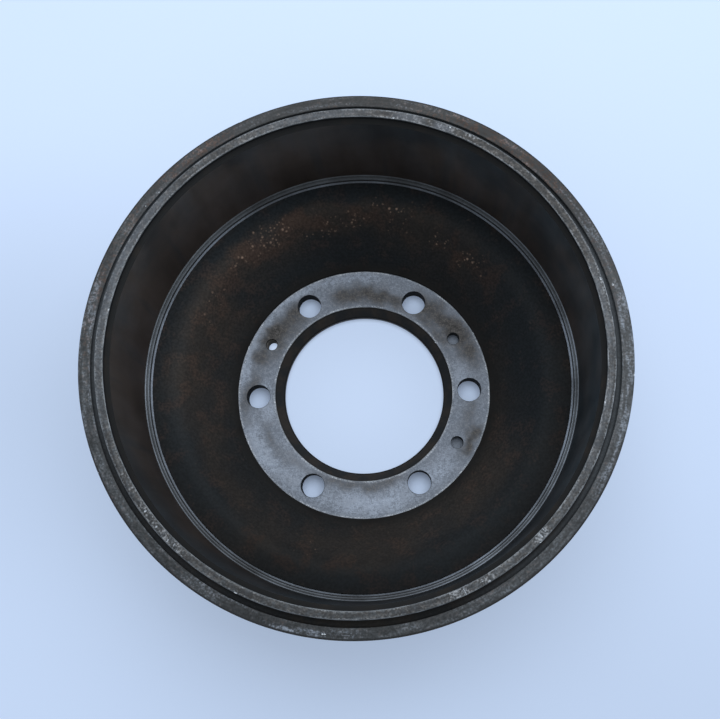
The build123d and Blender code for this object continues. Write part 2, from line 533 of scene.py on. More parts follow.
def web(colours):
    """Cast web: smooth and black with brake dust, browned half way up and blued beside the track, with
    painted light and shade by direction and painted shade beside the hub face.
    """
    iron = Finish("web")
    iron.fray(4 * MM, 20 * MM)
    cloud = iron.grit(30 * MM)
    grain = iron.grit(1.5 * MM)
    dusty = iron.ramp(iron.calc("MULTIPLY_ADD", cloud, 0.6, iron.patches(WEB_DUST)), 0.0, 1.2)
    colour = iron.tint(dusty, colours.dark, colours.dust)
    blued = iron.ramp(iron.calc("MULTIPLY_ADD", cloud, 0.25, iron.patches(WEB_BLUED)), 0.1, 1.2)
    colour = iron.tint(iron.calc("MULTIPLY", blued, 0.9), colour, colours.blued)
    outer = iron.ramp(iron.frayed_radius, 104 * MM, 120 * MM)
    torn = iron.calc("ADD", iron.between(iron.grit(13 * MM, 6), -0.7, 0.7), iron.between(grain, -0.25, 0.25))
    rusty = iron.ramp(iron.calc("ADD", iron.patches(WEB_RUST), torn), 0.0, 1.6)
    colour = iron.tint(iron.calc("MULTIPLY", rusty, 0.22), colour, colours.rust)
    # painted light and shade by direction around the axis
    colour = iron.scaled(colour, iron.around(WEB_SHADE))
    colour = iron.scaled(colour, iron.calc("MULTIPLY_ADD", outer, iron.around(WEB_OUTER_SHADE, 0.0), 1.0))
    clusters = iron.calc("ADD", iron.patches(WEB_SPECKS), iron.between(iron.grit(5 * MM), -0.5, 0.5))
    clusters = iron.ramp(clusters, 0.35, 1.45)
    fine = iron.calc("MULTIPLY", iron.spots(2.3 * MM, 0.8 * MM), 0.6)
    speckled = iron.calc("MAXIMUM", fine, iron.spots(3.4 * MM, 1.15 * MM))
    colour = iron.tint(iron.calc("MULTIPLY", speckled, clusters), colour, colours.specks)
    colour = iron.scaled(colour, iron.between(grain, 0.9, 1.35))
    # dirt and painted shade: the web darkens nearly to black beside the hub face
    gap = iron.calc("MULTIPLY", iron.ramp(iron.radius, *WEB_GAP), 0.85)
    colour = iron.tint(gap, colour, GAP_SHADE_BLACK)
    return iron.surface(
        colour, iron.between(rusty, 0.66, 0.85), specular=0.16, bump=grain, bump_height=0.02 * MM
    )


CORNER_SHADE = (  # painted light and shade by direction: angle and sweep, and what they add
    (-22, 60, 1.5),
    (162, 52, 0.9),
    (225, 24, -0.15),
)
CORNER_HOLLOW = (132.4 * MM, 0.4 * MM)  # radius and reach of the painted shade line in the hollow between the crests
CORNER_CRESTS = (  # crests in clean iron and painted highlight: radius and reach, strength, and where it is weaker
    (131.5, 1.0, 0.85, ()),
    (133.0, 0.35, 0.5, ((115, 76, -0.5),)),
    (134.6, 0.4, 0.6, ((115, 76, -0.75),)),
)


def turned_corner(colours):
    """Turned corner below the shoe track: crests of the tool marks bright with clean iron and painted
    highlight, painted shade in the hollows between, and painted light and shade by direction.
    """
    iron = Finish("turned_corner")
    crests = 0.0
    for radius, reach, strength, places in CORNER_CRESTS:
        crest = iron.calc("MULTIPLY", iron.near(iron.radius, radius * MM, reach * MM), strength)
        crests = iron.calc("MULTIPLY_ADD", crest, iron.around(places), crests)
    hollow = iron.near(iron.radius, *CORNER_HOLLOW)
    wear = iron.ramp(iron.noise(26 * MM, 5), 0.3, 0.66)
    grain = iron.noise(1.2 * MM, 4)
    colour = iron.tint(wear, iron.scaled(colours.lip, 0.35), iron.scaled(colours.lip, 0.75))
    # clean iron and painted highlight on the crests
    colour = iron.tint(iron.calc("MULTIPLY", crests, iron.between(wear, 0.25, 0.75)), colour, colours.faced)
    # painted light and shade by direction
    colour = iron.scaled(colour, iron.around(CORNER_SHADE))
    # painted shade in the hollow between the crests
    colour = iron.tint(iron.calc("MULTIPLY", hollow, 0.9), colour, colours.dark)
    colour = iron.scaled(colour, iron.between(grain, 0.6, 1.4))
    return iron.surface(colour, 0.5, metallic=0.35, bump=grain, bump_height=0.03 * MM)


TRACK_DUST = (  # angle and sweep, and what they add
    (138, 90, 0.85),
    (208, 56, 0.6),
    (45, 50, 0.45),
)
# painted light and shade by direction: angle and sweep, and what they add
TRACK_SHADE = (
    (144, 64, 0.5),
    (95, 34, -0.14),
    (42, 44, 0.2),
    (190, 46, -0.1),
    (226, 36, 0.04),
    (0, 46, 0.35),
    (270, 50, -0.38),
)


def shoe_track(colours):
    """Wall that the shoes rub on: glazed dark, with soft streaks along the drum and fine rings around it."""
    iron = Finish("shoe_track")
    streaks = iron.noise(9 * MM, 5, stretch=(1, 1, 0.08))
    blotches = iron.ramp(iron.noise(22 * MM, 4, stretch=(1, 1, 0.4)), 0.36, 0.64)
    cloud = iron.grit(40 * MM)
    marks = iron.rings(iron.height, 0.5 * MM)
    low = iron.ramp(iron.height, track_middle + track_half, track_middle - track_half)
    brown = iron.calc("MULTIPLY", iron.around(TRACK_DUST, 0.0), iron.between(low, 0.6, 1.5))
    brown = iron.ramp(iron.calc("MULTIPLY_ADD", cloud, 0.5, brown), 0.0, 1.2)
    dusty = iron.calc("MULTIPLY", brown, iron.between(blotches, 0.6, 1.0))
    colour = iron.tint(dusty, colours.blued, colours.dust)
    colour = iron.tint(iron.calc("MULTIPLY", brown, iron.between(low, 0.03, 0.1)), colour, colours.rust)
    colour = iron.tint(iron.calc("MULTIPLY", iron.ramp(streaks, 0.5, 0.72), 0.6), colour, colours.dark)
    colour = iron.scaled(colour, iron.between(blotches, 1.2, 0.8))
    colour = iron.scaled(colour, iron.between(streaks, 1.05, 2.7))
    colour = iron.scaled(colour, iron.between(cloud, 0.84, 1.16))
    # painted light and shade by direction
    colour = iron.scaled(colour, iron.around(TRACK_SHADE))
    # painted light and shade: the wall lighter at the top of the track and darker towards its bottom
    colour = iron.scaled(colour, iron.between(low, 1.3, 0.85))
    colour = iron.scaled(colour, iron.between(marks, 0.92, 1.08))
    return iron.surface(
        colour, iron.between(streaks, 0.5, 0.72), specular=0.2, bump=marks, bump_height=0.015 * MM
    )


LIP_BORE_SHADE = (  # painted light and shade by direction: angle and sweep, and what they add
    (225, 50, -0.5),
    (45, 50, -0.2),
    (95, 34, -0.15),
    (135, 40, 0.2),
)


def lip_bore(colours):
    """Lead-in and bore of the lip: dark, a little rubbed."""
    iron = Finish("lip_bore")
    marks = iron.rings(iron.height, 0.3 * MM)
    rubbed = iron.ramp(iron.noise(12 * MM, 5), 0.5, 0.75)
    colour = iron.tint(rubbed, colours.dark, colours.dust)
    colour = iron.scaled(colour, iron.between(marks, 0.4, 1.05))
    # painted light and shade by direction
    colour = iron.scaled(colour, iron.around(LIP_BORE_SHADE))
    return iron.surface(colour, 0.7, specular=0.2, bump=marks, bump_height=0.02 * MM)


LIP_EDGES = (138.1 * MM, 141.7 * MM)
LIP_SHADE = (  # painted light and shade by direction: angle and sweep, and what they add
    (52, 46, -0.4),
    (110, 40, -0.12),
    (0, 26, 0.14),
    (176, 28, 0.2),
    (225, 36, -0.08),
    (-45, 24, 0.04),
)
LIP_SCUFFS = (  # angle and sweep, radius and reach, strength
    (-68, 3.5, 139.8, 5, 1.0),
    (-61, 3.5, 140.4, 4, 0.9),
    (-46, 3, 140, 5, 1.15),
    (224, 7, 140.2, 4, 0.75),
    (216, 4, 139.8, 4, 0.65),
    (208, 4, 139.8, 4, 0.5),
    (76, 5, 139.6, 4, 0.5),
    (68, 4, 140.4, 4, 0.7),
    (61, 3, 141.4, 2, 0.9),
    (14, 6, 141.6, 2, 0.8),
)
LIP_POLISH_AND_HIGHLIGHTS = (  # polished places, partly painted highlights: angle and sweep, radius and reach, strength
    (76, 5, 140.0, 3.4, 1.2),
    (67.5, 3, 139.6, 3.0, 1.4),
    (155, 26, 140.5, 3.2, 1.0),
    (183, 14, 140.6, 2.4, 0.5),
    (98, 16, 140.0, 2.6, 0.7),
    (8, 14, 139.2, 2.4, 0.6),
    (-18, 18, 139.0, 2.4, 0.5),
)


def lip_top(colours):
    """Top of the lip: turned, knocked and rubbed grey, brighter along both edges, with painted highlights
    and painted light and shade by direction.
    """
    iron = Finish("lip_top")
    grain = iron.grit(1.0 * MM)
    mottling = iron.grit(2.6 * MM, 5)
    runs = iron.ramp(iron.streaks(2.2 * MM, 8, 5), 0.36, 0.64)
    cloud = iron.noise(18 * MM, 5)
    # painted light and shade by direction on the lip's own grey
    colour = iron.scaled(colours.lip, iron.around(LIP_SHADE, 0.58))
    brown = iron.calc("MULTIPLY", mottling, 0.75)
    colour = iron.tint(brown, colour, iron.scaled(colours.stain, 0.8))
    colour = iron.scaled(colour, iron.between(runs, 0.6, 1.4))
    colour = iron.scaled(colour, iron.between(mottling, 0.9, 1.1))
    scuffs = iron.calc("MULTIPLY_ADD", iron.calc("ADD", mottling, grain), 0.9, iron.patches(LIP_SCUFFS))
    scuffed = iron.ramp(scuffs, 1.45, 2.6)
    colour = iron.tint(iron.calc("MULTIPLY", scuffed, 0.36), colour, colours.worn)
    inner = iron.near(iron.radius, LIP_EDGES[0], 0.55 * MM)
    outer = iron.near(iron.radius, LIP_EDGES[1], 0.55 * MM)
    rubbed = iron.calc("MULTIPLY", iron.calc("ADD", inner, outer), iron.ramp(cloud, 0.3, 0.6))
    rubbed = iron.calc("MULTIPLY", rubbed, grain)
    colour = iron.tint(iron.calc("MULTIPLY", rubbed, 0.22), colour, colours.worn)
    colour = iron.scaled(colour, iron.between(grain, 0.6, 1.4))
    # polish and painted highlights: smooth lighter patches
    colour = iron.tint(iron.calc("MULTIPLY", iron.patches(LIP_POLISH_AND_HIGHLIGHTS), 0.2), colour, colours.faced)
    return iron.surface(colour, 0.55, metallic=0.3, bump=grain, bump_height=0.03 * MM)


CHANNEL_SLOPE = (143.0 * MM, 145.3 * MM)  # from the black of dirt and painted shadow beside the lip to the lighter iron
CHANNEL_LIT = (  # painted light by direction: angle and sweep, and what they add
    (0, 40, 0.9),
    (162, 54, 0.85),
    (-42, 30, 0.55),
    (225, 30, 0.2),
    (98, 50, 0.5),
    (50, 44, 0.32),
)


def channel(colours):
    """Rain channel between lip and flange: black with dirt and painted shadow beside the lip, lighter
    towards the flange, and lighter by direction as painted light.
    """
    iron = Finish("channel")
    grain = iron.noise(1.4 * MM, 4)
    colour = iron.tint(iron.ramp(iron.noise(10 * MM, 4), 0.4, 0.65), colours.dark, colours.dust)
    # dirt and painted shadow beside the lip, painted light by direction towards the flange
    clean_and_lit = iron.ramp(iron.radius, *CHANNEL_SLOPE)
    clean_and_lit = iron.calc("MULTIPLY", clean_and_lit, iron.around(CHANNEL_LIT, 0.06))
    colour = iron.tint(clean_and_lit, colour, iron.scaled(colours.flange, 0.95))
    colour = iron.scaled(colour, iron.between(grain, 0.4, 1.3))
    return iron.surface(colour, 0.8, specular=0.25, bump=grain, bump_height=0.08 * MM)


FLANGE_RUST = (  # angle and sweep, radius and reach, strength
    (126, 13, 150, 7, 0.8),
    (148, 22, 149, 7, 0.4),
    (168, 18, 149, 7, 0.35),
    (54, 26, 149, 7, 0.75),
    (20, 16, 149, 7, 0.3),
)
FLANGE_RUBBED = (
    (258, 16, 150.5, 2.2, 1.1),
    (240, 14, 147.5, 1.6, 0.6),
    (-24, 16, 150.5, 2.0, 0.9),
    (0, 16, 150, 4, 0.8),
    (4, 24, 152.8, 1.2, 0.8),
    (28, 14, 149.5, 3.0, 0.5),
    (165, 18, 150.0, 2.5, 0.5),
    (178, 22, 152.8, 1.2, 0.9),
    (182, 20, 147.3, 1.2, 0.8),
)
FLANGE_SHADE = (  # painted light and shade by direction: angle and sweep, and what they add
    (2, 34, 0.33),
    (168, 50, 0.2),
    (-45, 26, 0.05),
    (67, 70, -0.34),
    (240, 60, -0.06),
)
FLANGE_BROWNED = (
    (150, 50, 0.7),
    (50, 50, 0.5),
    (0, 30, 0.2),
)
RIM_START = drum_high.x - 1.5 * MM  # where the flange darkens towards its outer edge
# how much less the rim darkens by direction: angle and sweep, and what they add
RIM_DARKENING = (
    (0, 34, -1.0),
    (180, 22, -1.0),
)


def flange_top(colours):
    """Top of the flange: mottled grey, rusting in places and rubbed in short streaks."""
    iron = Finish("flange_top")
    iron.fray(1.4 * MM, 6 * MM)
    grain = iron.grit(1.1 * MM)
    mottling = iron.grit(2.4 * MM, 5)
    runs = iron.ramp(iron.streaks(2.2 * MM, 8, 5), 0.36, 0.64)
    cloud = iron.grit(14 * MM, 5)
    # painted light and shade by direction on the flange's own grey
    colour = iron.scaled(colours.flange, iron.around(FLANGE_SHADE, 0.54))
    brown = iron.calc("MULTIPLY", iron.calc("MULTIPLY", mottling, cloud), iron.around(FLANGE_BROWNED, 0.2))
    colour = iron.tint(brown, colour, iron.scaled(colours.stain, 0.62))
    flecks = iron.calc("MULTIPLY_ADD", iron.calc("ADD", mottling, grain), 0.8, iron.patches(FLANGE_RUST))
    rusty = iron.ramp(flecks, 1.05, 2.1)
    colour = iron.tint(iron.calc("MULTIPLY", rusty, 0.5), colour, colours.rust)
    rubbed = iron.calc("MULTIPLY_ADD", iron.calc("ADD", runs, grain), 0.9, iron.patches(FLANGE_RUBBED))
    rubbed = iron.ramp(rubbed, 1.3, 2.6)
    colour = iron.tint(iron.calc("MULTIPLY", rubbed, 0.42), colour, colours.faced)
    colour = iron.scaled(colour, iron.between(mottling, 0.76, 1.2))
    colour = iron.scaled(colour, iron.between(runs, 0.62, 1.38))
    colour = iron.scaled(colour, iron.between(grain, 0.56, 1.44))
    colour = iron.scaled(colour, iron.between(cloud, 0.88, 1.12))
    rim = iron.ramp(iron.radius, RIM_START, RIM_START + 0.6 * MM)
    rim = iron.calc("MULTIPLY", rim, iron.around(RIM_DARKENING, 0.9))
    colour = iron.tint(rim, colour, colours.dark)
    return iron.surface(
        colour, iron.between(rusty, 0.5, 0.75), metallic=0.25, bump=grain, bump_height=0.03 * MM
    )


EDGE_WEAR = (  # angle and sweep, and what they add
    (0, 34, 0.5),
    (-45, 30, 0.3),
    (180, 30, 0.15),
    (90, 30, 0.15),
)


def worn_edge(colours):
    """Rounded edges that the hand and the floor have rubbed: bright in runs, dull between."""
    iron = Finish("worn_edge")
    runs = iron.ramp(iron.noise(9 * MM, 5), 0.4, 0.62)
    grain = iron.noise(0.8 * MM, 3)
    colour = iron.tint(iron.calc("MULTIPLY", runs, iron.around(EDGE_WEAR, 0.3)), colours.lip, colours.worn)
    colour = iron.scaled(colour, iron.between(grain, 0.2, 1.3))
    return iron.surface(colour, 0.45, metallic=0.5, bump=grain, bump_height=0.05 * MM)


def drilled_hole(colours):
    """Walls of the drilled holes: darkened nearly to black as painted shade, with the drill's rings."""
    iron = Finish("drilled_hole")
    marks = iron.rings(iron.height, 0.4 * MM)
    colour = iron.tint(iron.ramp(iron.noise(4 * MM), 0.4, 0.6), colours.dark, colours.stain)
    # painted shade: the walls are darkened nearly to black
    colour = iron.scaled(colour, iron.between(marks, 0.05, 0.3))
    return iron.surface(colour, 0.7, specular=0.1, bump=marks, bump_height=0.03 * MM)


def tapped_hole(colours):
    """Walls of the tapped hole: brown, rubbed-looking grains, lightened as painted light inside the hole."""
    iron = Finish("tapped_hole")
    grain = iron.noise(0.9 * MM, 4)
    # painted light: the stain is lightened up to three times inside the hole
    colour = iron.scaled(colours.stain, iron.between(grain, 1.0, 3.0))
    return iron.surface(colour, 0.6, metallic=0.2, bump=grain, bump_height=0.03 * MM)


BLIND_HOLES = ("blind_hole_left", "blind_hole_right")
BLIND_FLOOR = mounts["blind_hole_left"]["pos_m"][2] - 2.5 * MM  # the mount is half way up the hole's wall


def fresh_nick(colours):
    """Knocks that show bare iron, dirty again in their hollows."""
    iron = Finish("fresh_nick")
    grain = iron.noise(0.7 * MM, 4)
    bare = iron.ramp(grain, 0.4, 0.56)
    colour = iron.tint(bare, colours.lip, colours.worn)
    colour = iron.scaled(colour, iron.between(grain, 0.7, 1.5))
    return iron.surface(colour, 0.4, metallic=0.5, bump=grain, bump_height=0.1 * MM)


def blind_hole(colours):
    """Walls of the blind holes as the drilled ones, with a grey, rubbed floor."""
    iron = Finish("blind_hole")
    grain = iron.noise(1.1 * MM, 4)
    floor = iron.ramp(iron.height, BLIND_FLOOR + 0.35 * MM, BLIND_FLOOR + 0.1 * MM)
    colour = iron.tint(floor, colours.dark, iron.scaled(colours.faced, 0.9))
    colour = iron.scaled(colour, iron.between(grain, 0.6, 1.4))
    return iron.surface(colour, 0.6, metallic=0.3, bump=grain, bump_height=0.05 * MM)


FINISHES = {  # from each corner of the half section to the next
    "pilot_lead": pilot_bore,
    "pilot_top": relief,
    "relief_rim": hub_face,
    "hub_face_rim": caked_dirt,
    "hub_skin_edge": web,
    "dish_foot": web,
    "dish_shoulder": web,
    "skin_edge": caked_dirt,
    "corner_root": turned_corner,
    "track_start": shoe_track,
    "track_end": lip_bore,
    "lead_in": lip_bore,
    "lip_inner": lip_top,
    "lip_outer": channel,
    "channel_inner": channel,
    "channel_outer": channel,
    "flange_inner": flange_top,
    "pad_rim": wheel_face,
    "pilot_face": pilot_bore,
}
WORN_EDGES = ("relief_rim", "hub_face_rim", "lip_inner", "lip_outer")


# ---------------------------------------------------------------- the casting


CORNER_RINGS = (  # tool marks up the turned corner: share of the way, and height
    (0.05, 0.0),
    (0.09, 0.16 * MM),
    (0.15, 0.0),
    (0.30, 0.0),
    (0.35, -0.28 * MM),
    (0.40, 0.0),
    (0.46, 0.0),
    (0.51, 0.14 * MM),
    (0.57, 0.0),
    (0.80, 0.0),
    (0.86, 0.16 * MM),
    (0.92, 0.0),
)


def half_section(sizes):
    """The corners of the drum's half section by name, as (radius, height), around the metal."""
    s = sizes
    hub_skin = s.hub_wall + s.turned_step
    corner_radius = s.track_radius - s.corner_width
    corner_root = s.track_start - s.corner_rise
    shoulder_skin = corner_root + s.turned_step
    web_underside = shoulder_skin - s.web_thickness
    dish_angle = atan2(shoulder_skin - hub_skin, s.shoulder_radius - s.foot_radius)
    outer_shoulder = s.shoulder_radius + s.web_thickness * tan(dish_angle / 2)
    pad_height = web_underside - (outer_shoulder - s.pad_radius) * tan(dish_angle)
    lip_bore = s.track_radius + s.lip_clearance
    lip_radius = lip_bore + s.lip_width
    channel_radius = lip_radius + s.channel_width
    flange_face = s.height - s.lip_height
    channel_floor = flange_face - s.channel_depth
    flange_underside = flange_face - s.flange_thickness
    wall_radius = s.track_radius + s.wall_thickness
    slope = hypot(s.corner_width, s.corner_rise)

    def on_corner(share, lift):
        """A point this share of the way up the turned corner, lifted off it by so much."""
        return (
            corner_radius + share * s.corner_width - lift * s.corner_rise / slope,
            corner_root + share * s.corner_rise + lift * s.corner_width / slope,
        )

    turned_rings = {
        f"corner_ring_{number}": on_corner(share, lift) for number, (share, lift) in enumerate(CORNER_RINGS)
    }
    return {
        "pilot_lead": (s.pilot_radius, s.pilot_chamfer),
        "pilot_top": (s.pilot_radius, s.pilot_land),
        "relief_rim": (s.relief_radius, s.hub_wall),
        "hub_face_rim": (s.hub_face_radius, s.hub_wall),
        "hub_skin_edge": (s.hub_face_radius, hub_skin),
        "dish_foot": (s.foot_radius, hub_skin),
        "dish_shoulder": (s.shoulder_radius, shoulder_skin),
        "skin_edge": (corner_radius, shoulder_skin),
        "corner_root": (corner_radius, corner_root),
        **turned_rings,
        "track_start": (s.track_radius, s.track_start),
        "track_end": (s.track_radius, s.track_end),
        "lead_in": (lip_bore, s.track_end + s.lead_in_rise),
        "lip_inner": (lip_bore, s.height),
        "lip_outer": (lip_radius, s.height),
        "channel_inner": (lip_radius, channel_floor),
        "channel_outer": (channel_radius, channel_floor),
        "flange_inner": (channel_radius, flange_face),
        "flange_outer": (s.flange_radius, flange_face),
        "flange_lower": (s.flange_radius, flange_underside),
        "flange_root": (wall_radius, flange_underside),
        "wall_corner": (wall_radius, web_underside),
        "outer_shoulder": (outer_shoulder, web_underside),
        "pad_root": (s.pad_radius, pad_height),
        "pad_rim": (s.pad_radius, 0.0),
        "pilot_face": (s.pilot_radius + s.pilot_chamfer, 0.0),
    }


FINE_STEP = radians(13)  # how far one flat of a large round turns
COARSE_STEP = radians(24)
SKIN_RINGS = (  # where rings are added for the uneven skin to move, and how many
    ("dish_foot", "dish_shoulder", 7),
    ("wall_corner", "flange_root", 8),
    ("pad_root", "outer_shoulder", 6),
)
ROUNDS = {
    "relief_rim": 0.45 * MM,
    "hub_face_rim": 0.3 * MM,
    "hub_skin_edge": 0.3 * MM,
    "dish_foot": 7.6 * MM,
    "dish_shoulder": 12.0 * MM,
    "skin_edge": 0.3 * MM,
    "lead_in": 0.25 * MM,
    "lip_inner": 0.4 * MM,
    "lip_outer": 0.5 * MM,
    "channel_inner": 0.8 * MM,
    "channel_outer": 1.3 * MM,
    "flange_inner": 0.5 * MM,
    "flange_outer": 1.0 * MM,
    "flange_lower": 1.5 * MM,
    "flange_root": 6.0 * MM,
    "wall_corner": 10.0 * MM,
    "outer_shoulder": 6.0 * MM,
    "pad_root": 3.0 * MM,
    "pad_rim": 0.6 * MM,
}


def turn_casting(name, corners, segments):
    """A closed ring of this half section: one circle, extruded from corner to corner and back."""
    deselect_everything()
    first = corners[0]
    radius, height = first
    bpy.ops.mesh.primitive_circle_add(vertices=segments, radius=radius, location=(0, 0, height))
    piece = bpy.context.object
    piece.name = piece.data.name = name
    bpy.ops.object.transform_apply(location=True, rotation=True, scale=True)
    bpy.ops.object.mode_set(mode="EDIT")
    bpy.ops.mesh.select_all(action="SELECT")
    for next_radius, next_height in corners[1:] + [first]:
        bpy.ops.mesh.extrude_edges_move(
            TRANSFORM_OT_translate={"value": (0, 0, next_height - height)}
        )
        growth = next_radius / radius
        bpy.ops.transform.resize(value=(growth, growth, 1), center_override=(0, 0, 0))
        radius, height = next_radius, next_height
    bpy.ops.mesh.select_all(action="SELECT")
    bpy.ops.mesh.remove_doubles(threshold=TOLERANCE)
    bpy.ops.mesh.normals_make_consistent(inside=False)
    bpy.ops.object.mode_set(mode="OBJECT")
    return piece


def turn_between(before, corner, after):
    """How far the half section turns at a corner, in radians."""
    heading_in = atan2(corner[1] - before[1], corner[0] - before[0])
    heading_out = atan2(after[1] - corner[1], after[0] - corner[0])
    return abs((heading_out - heading_in + pi) % (2 * pi) - pi)


def band_finish(corner):
    """The finish of the band that starts at this corner of the half section."""
    if corner.startswith("corner_ring"):
        return turned_corner
    return FINISHES.get(corner, cast_skin)


def give_finishes(drum, section, finishes):
    """Give the drum a slot for each finish, and every band of faces between two corners its slot."""
    for finish in finishes.values():
        drum.data.materials.append(finish)
    slots = list(finishes)
    names, corners = list(section), list(section.values())
    centres = read_vectors(drum.data.polygons, "center")
    radius, height = np.hypot(centres[:, 0], centres[:, 1]), centres[:, 2]
    starts = np.array(corners)
    middles = (starts + np.roll(starts, -1, axis=0)) / 2
    band = np.hypot(radius[:, None] - middles[:, 0], height[:, None] - middles[:, 1]).argmin(1)
    band_slots = np.array([slots.index(band_finish(name).__name__) for name in names])
    face_slots = band_slots[band]
    for slot in sorted(set(face_slots)):
        make_active(drum)
        drum.data.polygons.foreach_set("select", face_slots == slot)
        bpy.context.tool_settings.mesh_select_mode = (False, False, True)
        bpy.ops.object.mode_set(mode="EDIT")
        drum.active_material_index = int(slot)
        bpy.ops.object.material_slot_assign()
        bpy.ops.object.mode_set(mode="OBJECT")


def round_corner(drum, corner, turn, round_radius, slot):
    """Bevel one ring of edges to an arc of this radius; slot -1 takes the finish from beside it."""
    step = FINE_STEP if round_radius > 2 * MM else COARSE_STEP
    radius, height = edge_ends(drum.data)
    at_corner = (abs(radius - corner[0]) < TOLERANCE) & (abs(height - corner[1]) < TOLERANCE)
    edit_edges(drum, at_corner.all(1))
    bpy.ops.mesh.bevel(
        offset=round_radius * tan(turn / 2),
        segments=max(2, ceil(turn / step)),
        clamp_overlap=False,
        material=slot,
    )
    bpy.ops.object.mode_set(mode="OBJECT")


def divide_band(drum, lowest, highest, cuts):
    """Add rings between two places of the half section, for the uneven skin to move."""
    radius, height = edge_ends(drum.data)
    inside = (radius > lowest[0] - TOLERANCE) & (radius < highest[0] + TOLERANCE)
    inside &= (height > lowest[1] - TOLERANCE) & (height < highest[1] + TOLERANCE)
    slope = np.hypot(radius[:, 0] - radius[:, 1], height[:, 0] - height[:, 1])
    edit_edges(drum, inside.all(1) & (slope > 3 * MM))
    bpy.ops.mesh.subdivide(number_cuts=cuts, smoothness=0)
    bpy.ops.object.mode_set(mode="OBJECT")


def roughen_skin(drum, section):
    """Move the cast skin in and out a little, as sand leaves it; turned faces stay true."""
    points = read_vectors(drum.data.vertices, "co")
    radius, height = np.hypot(points[:, 0], points[:, 1]), points[:, 2]
    foot, shoulder = section["dish_foot"], section["dish_shoulder"]
    edge = 0.6 * MM
    web = (radius > foot[0] - edge) & (radius < section["skin_edge"][0] - edge)
    web &= (height > foot[1] - edge) & (height < shoulder[1] + edge)
    outside = (radius > section["pad_root"][0] + edge) & (height < section["flange_root"][1] - 2 * MM)
    outside &= (height > section["pad_root"][1] + edge) & ~web
    outside &= (radius > section["wall_corner"][0] - edge) | (height < section["wall_corner"][1] + edge)
    skin = drum.vertex_groups.new(name="cast_skin")
    skin.add(np.flatnonzero(web | outside).tolist(), 1.0, "REPLACE")
    sand = bpy.data.textures.new("sand", "CLOUDS")
    sand.noise_scale = 0.011
    sand.noise_depth = 3
    modifier = drum.modifiers.new("sand", "DISPLACE")
    modifier.texture = sand
    modifier.vertex_group = skin.name
    modifier.strength = 0.35 * MM
    modifier.mid_level = 0.5
    make_active(drum)
    bpy.ops.object.modifier_apply(modifier=modifier.name)
    bpy.ops.object.vertex_group_remove(all=True)


# ---------------------------------------------------------------- holes and nicks


HOLE_CIRCLE = mounts["wheel_studs"]["dims"]["pcd_mm"] * MM / 2


def drill(name, radius, angle, bottom, face, chamfer):
    """A drill on the hole circle: straight up to the chamfer, then flared to the face and past it."""
    deselect_everything()
    x, y = HOLE_CIRCLE * cos(angle), HOLE_CIRCLE * sin(angle)
    shank_top = face - chamfer
    bpy.ops.mesh.primitive_cylinder_add(
        vertices=72, radius=radius, depth=shank_top - bottom, location=(x, y, (shank_top + bottom) / 2)
    )
    cutter = bpy.context.object
    cutter.name = name
    bpy.ops.object.transform_apply(location=True, rotation=True, scale=True)
    heights = read_vectors(cutter.data.vertices, "co")[:, 2]
    cutter.data.vertices.foreach_set("select", heights > shank_top - TOLERANCE)
    cutter.data.edges.foreach_set("select", np.zeros(len(cutter.data.edges), bool))
    cutter.data.polygons.foreach_set("select", np.zeros(len(cutter.data.polygons), bool))
    bpy.context.tool_settings.mesh_select_mode = (True, False, False)
    bpy.ops.object.mode_set(mode="EDIT")
    bpy.ops.mesh.extrude_region_move(TRANSFORM_OT_translate={"value": (0, 0, chamfer)})
    flare = (radius + chamfer) / radius
    bpy.ops.transform.resize(value=(flare, flare, 1), center_override=(x, y, face))
    bpy.ops.mesh.extrude_region_move(TRANSFORM_OT_translate={"value": (0, 0, 1 * MM)})
    bpy.ops.object.mode_set(mode="OBJECT")
    return cutter


def tap(name, radius, depth_of_thread, pitch, angle, bottom, turns):
    """A tap: one zigzag of thread teeth, screwed once around by its pitch."""
    deselect_everything()
    bpy.ops.mesh.primitive_plane_add(size=pitch, location=(0, 0, 0))
    cutter = bpy.context.object
    cutter.name = name
    bpy.ops.object.mode_set(mode="EDIT")
    bpy.ops.mesh.select_all(action="SELECT")
    bpy.ops.mesh.merge(type="CENTER")
    bpy.ops.transform.translate(value=(radius, 0, bottom))
    for half_tooth in range(2 * turns):
        sideways = depth_of_thread if half_tooth % 2 == 0 else -depth_of_thread
        bpy.ops.mesh.extrude_vertices_move(
            TRANSFORM_OT_translate={"value": (sideways, 0, pitch / 2)}
        )
    bpy.ops.object.mode_set(mode="OBJECT")
    screw = cutter.modifiers.new("screw", "SCREW")
    screw.angle = 2 * pi
    screw.screw_offset = pitch
    screw.steps = screw.render_steps = 40
    screw.use_merge_vertices = False
    bpy.ops.object.modifier_apply(modifier=screw.name)
    bpy.ops.object.mode_set(mode="EDIT")
    bpy.ops.mesh.select_all(action="SELECT")
    bpy.ops.mesh.remove_doubles(threshold=TOLERANCE)
    bpy.ops.mesh.select_all(action="SELECT")
    bpy.ops.mesh.fill_holes(sides=0)
    bpy.ops.mesh.select_all(action="SELECT")
    bpy.ops.mesh.normals_make_consistent(inside=False)
    x, y = HOLE_CIRCLE * cos(angle), HOLE_CIRCLE * sin(angle)
    bpy.ops.transform.translate(value=(x, y, 0))
    bpy.ops.object.mode_set(mode="OBJECT")
    return cutter


